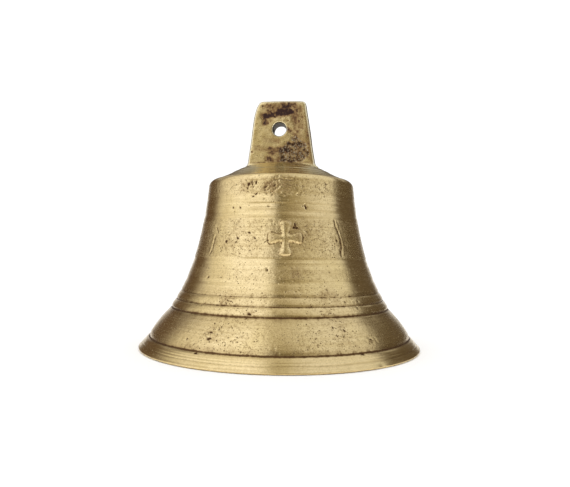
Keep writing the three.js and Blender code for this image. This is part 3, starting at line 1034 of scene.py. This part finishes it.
# Colours of the casting as linear red, green and blue
CLEAN_BRASS = (0.91, 0.715, 0.378)
WARM_BRASS = (0.85, 0.66, 0.315)
BROAD_STREAK = (0.68, 0.50, 0.225)
FINE_STREAK = (0.62, 0.45, 0.20)
DULL_BRASS = (0.68, 0.51, 0.25)
PORE_SHADE = (0.46, 0.33, 0.14)
PORE = (0.36, 0.24, 0.095)
LUG_LIGHT = (0.75, 0.59, 0.29)
LUG_DARK = (0.54, 0.40, 0.16)
CROWN_LIGHT = (0.82, 0.735, 0.475)
CROWN_DARK = (0.56, 0.49, 0.29)
INSIDE_LIGHT = (0.36, 0.24, 0.11)
INSIDE_DARK = (0.24, 0.15, 0.065)
# Groove dirt, also the painted shade in the grooves and their coves
GROOVE_DIRT_AND_SHADE = (0.33, 0.21, 0.08)
EATEN_METAL = (0.34, 0.20, 0.13)
STAIN_HAZE = (0.44, 0.30, 0.13)
STAIN_BROWN = (0.25, 0.135, 0.06)
STAIN_BLACK = (0.048, 0.026, 0.025)
# Worn lug edges, pale as a painted highlight
WORN_EDGE_AND_HIGHLIGHT = (0.92, 0.84, 0.62)
# Dark of pits, also of groove dirt with painted shade
PIT_DIRT_AND_SHADE_DARK = (0.105, 0.048, 0.018)
# Painted glint on the rims of eaten pits
PAINTED_GLINT = (0.95, 0.86, 0.66)
BORE_DARK = (0.060, 0.052, 0.048)


def operator(kind, swapped=False):
    """Method of Value that adds a math node of one kind."""
    def apply(self, other):
        return self.nodes.math(kind, other, self) if swapped else self.nodes.math(kind, self, other)
    return apply


class Value:
    """One output in a node tree, with the usual operators."""

    __add__ = operator("ADD")
    __radd__ = operator("ADD", swapped=True)
    __sub__ = operator("SUBTRACT")
    __rsub__ = operator("SUBTRACT", swapped=True)
    __mul__ = operator("MULTIPLY")
    at_least = operator("MAXIMUM")
    at_most = operator("MINIMUM")

    def __init__(self, nodes, socket):
        self.nodes = nodes
        self.socket = socket

    def swing(self, amount):
        """Noise from 0 to 1 as a swing round zero."""
        return (self - 0.5) * amount

    def ramp(self, low, high, to_low=0.0, to_high=1.0):
        inputs = dict(enumerate((self, low, high, to_low, to_high)))
        return self.nodes.make("ShaderNodeMapRange", inputs, interpolation_type="SMOOTHSTEP")


class Nodes:
    """Short calls for building one node tree. Inputs go by name or number, colours without their alpha."""

    def __init__(self, tree):
        self.tree = tree

    def feed(self, node, inputs):
        for name, value in inputs.items():
            if isinstance(value, Value):
                self.tree.links.new(value.socket, node.inputs[name])
            elif isinstance(value, tuple):
                node.inputs[name].default_value = (*value, 1.0)
            else:
                node.inputs[name].default_value = value

    def add(self, kind, inputs, **settings):
        node = self.tree.nodes.new(kind)
        for name, value in settings.items():
            setattr(node, name, value)
        self.feed(node, inputs)
        return node

    def make(self, kind, inputs, output=0, **settings):
        """Adds a node and returns one of its outputs."""
        return Value(self, self.add(kind, inputs, **settings).outputs[output])

    def math(self, operation, a, b=0.0):
        return self.make("ShaderNodeMath", {0: a, 1: b}, operation=operation)

    def mix(self, factor, a, b):
        return self.make("ShaderNodeMix", {0: factor, 6: a, 7: b}, 2, data_type="RGBA")

    def painted(self, colour, layers):
        """The colour with layers of (share, colour) laid over it in turn."""
        for share, layer in layers:
            colour = self.mix(share, colour, layer)
        return colour

    def attribute(self, name):
        return self.make("ShaderNodeAttribute", {}, "Fac", attribute_name=name)

    def position(self):
        return self.make("ShaderNodeTexCoord", {}, "Object")

    def vector(self, operation, value, output):
        return self.make("ShaderNodeVectorMath", {0: value}, output, operation=operation)

    def split(self, vector):
        return [Value(self, socket) for socket in self.add("ShaderNodeSeparateXYZ", {0: vector}).outputs]

    def combine(self, x, y, z):
        return self.make("ShaderNodeCombineXYZ", {0: x, 1: y, 2: z})

    def noise(self, vector, scale, detail=2.0, roughness=0.5):
        inputs = {"Vector": vector, "Scale": scale, "Detail": detail, "Roughness": roughness}
        return self.make("ShaderNodeTexNoise", inputs, "Fac")

    def bump(self, height, strength, depth):
        """Normal of a bump of the given height, whose depth is in millimetres."""
        return self.make("ShaderNodeBump", {"Strength": strength, "Distance": depth * MM, "Height": height})


def new_material(name, kind="ShaderNodeBsdfPrincipled"):
    material = bpy.data.materials.new(name)
    material.use_nodes = True
    material.node_tree.nodes.clear()
    nodes = Nodes(material.node_tree)
    shader = nodes.add(kind, {})
    nodes.add("ShaderNodeOutputMaterial", {"Surface": Value(nodes, shader.outputs[0])})
    return material, nodes, shader


def lathe_streaks(nodes, where, pitch):
    """Noise drawn out round the axis, with the given pitch in millimetres along the outline."""
    x, y, z = nodes.split(where)
    along = z - nodes.vector("LENGTH", nodes.combine(x, y, 0.0), "Value")
    return nodes.noise(nodes.combine(x * 25.0, y * 25.0, along * (1.0 / (pitch * MM))), 1.0, 2.0, 0.6)


def dots(nodes, where, size, share):
    """Small irregular dots: 1 in a dot. share of the cells of the given size in millimetres have one."""
    cells = nodes.add("ShaderNodeTexVoronoi", {"Vector": where, "Scale": 1.0 / (size * MM)}, feature="F1")
    chance = nodes.make("ShaderNodeSeparateColor", {0: Value(nodes, cells.outputs["Color"])})
    reach = chance.ramp(1.0 - share, 1.0, 0.05, 0.42)
    return Value(nodes, cells.outputs["Distance"]).ramp(reach, reach * 0.45)


def bell_brass():
    """Cast brass, turned in bands: pale gold metal, brown in pits and stains, dirt and painted shade in the
    grooves, painted highlights on the lug's bevels and painted glints in its eaten patch, darker inside.
    """
    material, nodes, shader = new_material("bell_brass")
    names = ("pit", "stain", "eaten", "as_cast", "dirt_and_shade", "inside", "lug", "bore", "crown", "crowd", "worn")
    pit, stain, eaten, as_cast, dirt_and_shade, inside, lug, bore, crown, crowd, worn = map(nodes.attribute, names)

    where = nodes.position()
    cloud = nodes.noise(where, 90.0, 3.0, 0.6)
    mottle = nodes.noise(where, 420.0, 3.0, 0.6)
    grain = nodes.noise(where, 1100.0, 3.0, 0.7)
    fine = nodes.noise(where, 3000.0, 2.0, 0.6)
    broad_streaks = lathe_streaks(nodes, where, 0.9)
    fine_streaks = lathe_streaks(nodes, where, 0.28)

    # Dark dots and open pores of the casting skin
    share = as_cast * 0.20 + cloud.ramp(0.45, 0.75, 0.0, 0.03) + crowd * (0.30 + as_cast * 0.50)
    speckle = dots(nodes, where, 0.62, share * 0.7).at_least(dots(nodes, where, 0.38, share))
    pore_noise = fine * 0.55 + grain * 0.45
    pores = pore_noise.ramp(0.50, 0.66) * (as_cast * 0.6 + crowd * 0.5)

    # Stains, and groove dirt mixed with painted shade, with ragged edges
    stain_edge = stain + grain.swing(2.1) + mottle.swing(1.3)
    on_stain = stain.ramp(0.04, 0.30)
    haze = (stain + mottle.swing(0.9)).ramp(0.06, 0.50)
    brown = stain_edge.ramp(0.42, 0.85) * on_stain
    black = stain_edge.ramp(0.76, 1.12) * on_stain
    dirt_and_shade_edge = dirt_and_shade + grain.swing(1.5) + mottle.swing(1.1)
    deep_dirt_and_shade = dirt_and_shade_edge.ramp(0.46, 1.10, 0.0, 0.92) * dirt_and_shade.ramp(0.1, 0.5)
    eaten_edge = (eaten + mottle.swing(1.2)).ramp(0.30, 0.60) * eaten.ramp(0.02, 0.15)
    eaten_pits = pore_noise.ramp(0.465, 0.54) * eaten_edge
    # Painted glints: bright flecks in the eaten patch
    painted_glints = fine.ramp(0.57, 0.64) * eaten_edge
    # Dark of pits, dots and eaten pits, with groove dirt and painted shade
    dark = pit.ramp(0.16, 0.80).at_least(speckle * 0.7).at_least(deep_dirt_and_shade.at_least(eaten_pits * 0.9))

    clean = nodes.mix(cloud.ramp(0.35, 0.7), CLEAN_BRASS, WARM_BRASS)
    colour = nodes.painted(clean, [
        (broad_streaks.ramp(0.42, 0.75, 0.0, 0.50), BROAD_STREAK),
        (fine_streaks.ramp(0.45, 0.75, 0.0, 0.45), FINE_STREAK),
        (as_cast * mottle.ramp(0.35, 0.65, 0.05, 0.50), DULL_BRASS),
        (pore_noise.ramp(0.42, 0.62, 0.0, 0.34), PORE_SHADE),
        (lug * 0.9, nodes.mix((cloud * 0.6 + mottle * 0.4).ramp(0.38, 0.62), LUG_LIGHT, LUG_DARK)),
        (crown * 0.8, nodes.mix(fine_streaks, CROWN_LIGHT, CROWN_DARK)),
        (inside * 0.82, nodes.mix(cloud.ramp(0.35, 0.65), INSIDE_LIGHT, INSIDE_DARK)),
        (pores, PORE),
        # Groove dirt with painted shade, as a brown wash
        ((dirt_and_shade + mottle.swing(0.5)).ramp(0.12, 0.9, 0.0, 0.8), GROOVE_DIRT_AND_SHADE),
        (eaten_edge * 0.68, EATEN_METAL),
        (haze * (0.50 + lug * 0.30), STAIN_HAZE),
        (brown * (0.48 + lug * 0.38), STAIN_BROWN),
        (black * (0.30 + lug * 0.65), STAIN_BLACK),
        # Worn lug edges lightened as a painted highlight
        (worn * 0.75, WORN_EDGE_AND_HIGHLIGHT),
        (dark, PIT_DIRT_AND_SHADE_DARK),
        # Painted glints in the eaten patch
        (painted_glints * 0.8, PAINTED_GLINT),
        (bore * 0.92, BORE_DARK),
    ])

    duller = ((dark, 0.35), (brown, 0.24), (inside, 0.18), (bore, 0.30), (eaten_edge, 0.10), (worn, -0.04))
    rough = fine_streaks.ramp(0.3, 0.7, 0.16, 0.24) + as_cast * grain.ramp(0.3, 0.7, 0.02, 0.10)
    for mask, extra in duller:
        rough = rough + mask * extra

    lines = (broad_streaks * 0.30 + fine_streaks * 0.14) * (1.0 - lug.at_least(as_cast * 0.75))
    skin = (grain * 0.50 + fine * 0.26) * (as_cast * 0.75 + 0.10)
    hollows = ((speckle, -0.45), (pores, -0.15), (brown * grain, -0.4), (eaten_pits, -0.6))
    height = lines + fine * 0.03 + skin
    for mask, depth in hollows:
        height = height + mask * depth
    nodes.feed(shader, {
        "Base Color": colour,
        "Metallic": 1.0,
        "Roughness": rough.at_most(0.9),
        "Normal": nodes.bump(height, 1.0, 0.12),
    })
    return material


def wire_metal(name, base, rust, rust_share, roughness):
    """Hand-bent wire: grey metal with brown rust in patches and a fine scale."""
    material, nodes, shader = new_material(name)
    where = nodes.position()
    grain = nodes.noise(where, 1700.0, 3.0, 0.7)
    rusty = (nodes.noise(where, 260.0, 4.0, 0.65) + grain * 0.25).ramp(0.78 - rust_share, 0.92 - rust_share)
    clean = nodes.mix(grain.ramp(0.35, 0.7), base, tuple(0.7 * part for part in base))
    nodes.feed(shader, {
        "Base Color": nodes.mix(rusty, clean, rust),
        "Metallic": rusty.ramp(0.0, 1.0, 1.0, 0.25),
        "Roughness": rusty.ramp(0.0, 1.0, roughness, 0.75),
        "Normal": nodes.bump(grain + rusty * 0.5, 0.6, 0.06),
    })
    return material


def ball_brass():
    """Turned brass gone dull, rubbed bright where the ball strikes."""
    material, nodes, shader = new_material("ball_brass")
    where = nodes.position()
    x, y, z = nodes.split(where)
    cloud = nodes.noise(where, 220.0, 4.0, 0.6)
    grain = nodes.noise(where, 1500.0, 3.0, 0.6)
    turned_lines = nodes.noise(nodes.combine(x * 30.0, y * 30.0, z * 2600.0), 1.0, 2.0, 0.6)
    struck = nodes.math("ABSOLUTE", x).ramp(0.0062, 0.0073)
    colour = nodes.painted(nodes.mix(cloud.ramp(0.35, 0.65), (0.60, 0.44, 0.20), (0.38, 0.25, 0.11)), [
        (struck * 0.8, (0.80, 0.62, 0.31)),
        (grain.ramp(0.62, 0.75, 0.0, 0.6), (0.16, 0.09, 0.04)),
    ])
    nodes.feed(shader, {
        "Base Color": colour,
        "Metallic": 1.0,
        "Roughness": cloud.ramp(0.3, 0.7, 0.28, 0.46),
        "Normal": nodes.bump(turned_lines + grain * 0.6, 0.4, 0.04),
    })
    return material


# ---- camera, floor and light ----

FLOOR_REACH = 3000.0
FLOOR_DROP = 0.05
TENT_RADIUS = 900.0
TENT_FOOT_TILT = -2.0
WORLD_STRENGTH = 1.13
SOFTBOX_SIZE = 0.8
SOFTBOX_ENERGY = 1.2
SOFTBOX_PLACE = Vector((-0.25, -0.2, 0.9))


def make_camera():
    turn = math.radians(CAMERA_TURN)
    data = bpy.data.cameras.new("camera")
    data.sensor_width = 36.0
    data.lens = CAMERA_LENS
    data.shift_x, data.shift_y = CAMERA_SHIFT
    data.clip_start = 0.005
    camera = bpy.data.objects.new("camera", data)
    bpy.context.scene.collection.objects.link(camera)
    place = Vector((CAMERA_DISTANCE * math.sin(turn), -CAMERA_DISTANCE * math.cos(turn), CAMERA_HEIGHT)) * MM
    upright = Matrix.Rotation(turn, 4, "Z") @ Matrix.Rotation(math.pi / 2, 4, "X")
    roll = Matrix.Rotation(math.radians(CAMERA_ROLL), 4, "Z")
    camera.matrix_world = Matrix.Translation(place) @ upright @ roll
    bpy.context.scene.camera = camera


def make_floor():
    signs = ((-1, -1), (1, -1), (1, 1), (-1, 1))
    corners = [(x * FLOOR_REACH, y * FLOOR_REACH, -FLOOR_DROP) for x, y in signs]
    floor = new_object("floor", corners, [(0, 1, 2, 3)])
    material, nodes, shader = new_material("pale_floor")
    tone = nodes.noise(nodes.position(), 3.0).ramp(0.3, 0.7)
    pale = nodes.mix(tone, (0.93, 0.93, 0.93), (0.92, 0.92, 0.92))
    nodes.feed(shader, {"Base Color": pale, "Roughness": 0.9, "Specular IOR Level": 0.1})
    floor.data.materials.append(material)


def tent_cloth():
    """Light of the tent by direction: side is to the right of the camera's view, back is away from it."""
    material, nodes, shader = new_material("tent_cloth", "ShaderNodeEmission")
    side, back, up = nodes.split(nodes.vector("NORMALIZE", nodes.position(), "Vector"))

    def cloth(level, green, green_gain, blue, blue_gain):
        """Light of the given level, with green and blue parts that grow with it."""
        return nodes.combine(level, level * (green + level * green_gain), level * (blue + level * blue_gain))

    squared_up = up * up
    left = back.ramp(-0.4, 0.1, 1.18, 0.88)
    dim = 0.092 + squared_up * 0.33 + up.ramp(0.50, 0.70, 0.0, 0.11) + up.ramp(0.75, 0.95, 0.0, 0.08)
    right = (dim + (side * (0.60 + up * 0.60)).at_least(0.0)).at_most(0.84)
    bright_left = cloth(left, 0.89, 0.12, 0.55, 0.49)
    soft_right = cloth(right, 0.80, 0.27, 0.35, 0.87)

    front_low = up.ramp(0.33, 0.26) * (back.ramp(-0.55, -0.75) * side.ramp(0.45, 0.25))
    card_right = (back - (squared_up - 0.13)).ramp(-0.14, 0.12) * side.ramp(-0.02, 0.02)
    card_left = (back - up * 0.12).ramp(0.02, 0.48) * side.ramp(0.02, -0.02)
    low_back = back.ramp(0.80, 0.93) * up.ramp(0.34, 0.20)
    high_back = back.ramp(0.40, 0.55) * up.ramp(0.42, 0.56)
    middle = nodes.math("ABSOLUTE", side).ramp(0.30, 0.12)
    nodes.feed(shader, {"Color": nodes.painted(nodes.mix(side.ramp(-0.20, -0.07), bright_left, soft_right), [
        (front_low, nodes.mix(side.ramp(-0.55, 0.25), (0.66, 0.62, 0.53), (0.40, 0.36, 0.27))),
        (card_right, (0.120, 0.093, 0.064)),
        (card_left, (0.130, 0.087, 0.056)),
        (low_back, (0.9, 0.9, 0.92)),
        (high_back, nodes.mix(middle, (0.47, 0.46, 0.45), (0.35, 0.30, 0.20))),
    ])})
    return material


def make_tent():
    """A half dome of lit cloth and dark cards round the bell, seen only in its reflections: a bright side on
    the left, a softer one on the right, a dim gap between them that runs from the front over the top, a dark
    card on each side behind the bell, and bright cloth low down behind it."""
    rings, columns = 24, 64
    tilt = np.radians(np.linspace(TENT_FOOT_TILT, 90.0, rings, endpoint=False))
    dome = TENT_RADIUS * np.column_stack([np.cos(tilt), np.sin(tilt)])
    turn = np.linspace(0.0, 2.0 * math.pi, columns, endpoint=False)
    vertices = np.vstack([lathe_rings(dome, turn), [(0.0, 0.0, TENT_RADIUS)]])
    top = (rings - 1) * columns
    faces = ring_faces(rings, columns, flip=True)
    faces += [(top + column, top + (column + 1) % columns, rings * columns) for column in range(columns)]
    tent = new_object("light_tent", vertices, faces)
    tent.rotation_euler.z = math.radians(CAMERA_TURN)
    tent.data.materials.append(tent_cloth())
    for kind in ("camera", "diffuse", "shadow", "transmission"):
        setattr(tent, "visible_" + kind, False)


def make_lights():
    world = bpy.data.worlds.new("studio")
    world.use_nodes = True
    background = world.node_tree.nodes["Background"]
    background.inputs["Color"].default_value = (1.0, 1.0, 1.0, 1.0)
    background.inputs["Strength"].default_value = WORLD_STRENGTH
    bpy.context.scene.world = world
    softbox = bpy.data.lights.new("overhead_softbox", "AREA")
    softbox.shape = "RECTANGLE"
    softbox.size = SOFTBOX_SIZE
    softbox.size_y = SOFTBOX_SIZE
    softbox.energy = SOFTBOX_ENERGY
    lamp = bpy.data.objects.new("overhead_softbox", softbox)
    bpy.context.scene.collection.objects.link(lamp)
    lamp.location = SOFTBOX_PLACE
    lamp.rotation_euler = (-SOFTBOX_PLACE).to_track_quat("-Z", "Y").to_euler()
    lamp.visible_glossy = False
    bpy.context.scene.view_settings.view_transform = "Standard"


# ---- assembly ----

def dress(piece, material, body, node):
    piece.data.materials.clear()
    piece.data.materials.append(material)
    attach(piece, body)
    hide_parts(node)


make_camera()
make_floor()
make_tent()
make_lights()

rusty_iron = wire_metal("staple_iron", (0.20, 0.17, 0.15), (0.16, 0.065, 0.028), 0.22, 0.5)
worn_steel = wire_metal("clapper_steel", (0.46, 0.44, 0.41), (0.20, 0.10, 0.05), 0.08, 0.34)

dress(make_bell(), bell_brass(), "bell", "bell_body")
dress(make_staple(), rusty_iron, "bell", "clapper_staple")
dress(make_link(), worn_steel, "link", "clapper_link")
dress(make_shank(), worn_steel, "clapper", "clapper_shank")
dress(make_ball(), ball_brass(), "clapper", "clapper_ball")
